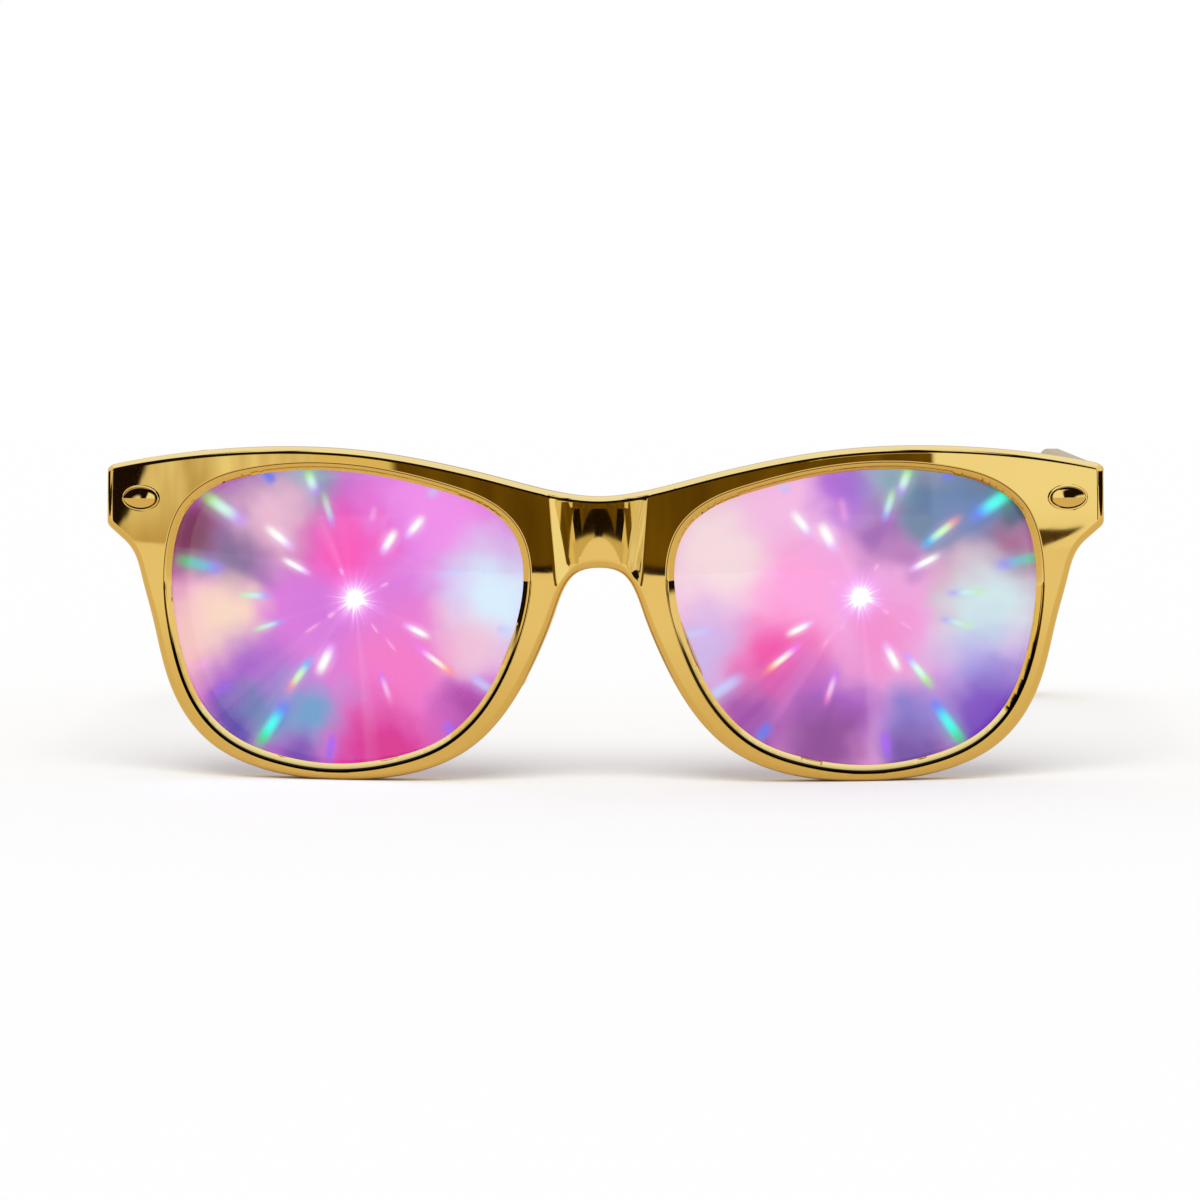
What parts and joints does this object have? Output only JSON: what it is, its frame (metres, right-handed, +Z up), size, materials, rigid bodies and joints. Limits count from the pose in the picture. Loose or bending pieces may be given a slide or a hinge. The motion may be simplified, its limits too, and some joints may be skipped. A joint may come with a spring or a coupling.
{
  "type": "diffraction glasses",
  "caption": "Gold-finished moulded glasses with starburst diffraction lenses, a scooped bridge, oval corner rivets and folding hinged arms.",
  "frame": {"origin": "middle of the footprint with the arms open, on the surface that the glasses stand on", "axes": "+Z up, -Y the way the front faces, +Y back along the arms, +X to the right as seen from the front"},
  "size_m": [0.148, 0.1499, 0.049],
  "materials": {
    "gold_moulding": "vacuum-metallised gold on moulded plastic, mirror bright",
    "clear_lens": "clear, polished",
    "diffraction_film": "embossed diffraction film that shows a coloured star burst",
    "gold_rivet": "polished",
    "hinge_steel": "fine brushed, plated"
  },
  "bodies": {
    "front": {"front_frame": "gold_moulding", "left_lens": "clear_lens", "right_lens": "clear_lens", "left_diffraction_film": "diffraction_film", "right_diffraction_film": "diffraction_film", "left_oval_rivet": "gold_rivet", "right_oval_rivet": "gold_rivet", "left_front_hinge_leaf": "hinge_steel", "right_front_hinge_leaf": "hinge_steel", "left_hinge_screw": "hinge_steel", "right_hinge_screw": "hinge_steel"},
    "left_arm": {"left_temple": "gold_moulding", "left_temple_hinge_leaf": "hinge_steel", "left_temple_hinge_rivets": "hinge_steel"},
    "right_arm": {"right_temple": "gold_moulding", "right_temple_hinge_leaf": "hinge_steel", "right_temple_hinge_rivets": "hinge_steel"}
  },
  "joints": [
    {"name": "left_arm_fold", "type": "hinge", "parent": "front", "child": "left_arm", "pos_m": [-0.0671, -0.0564, 0.04183], "axis": [0, 0, -1], "range_deg": [0, 92]},
    {"name": "right_arm_fold", "type": "hinge", "parent": "front", "child": "right_arm", "pos_m": [0.0671, -0.0564, 0.04183], "axis": [0, 0, 1], "range_deg": [0, 87]}
  ]
}
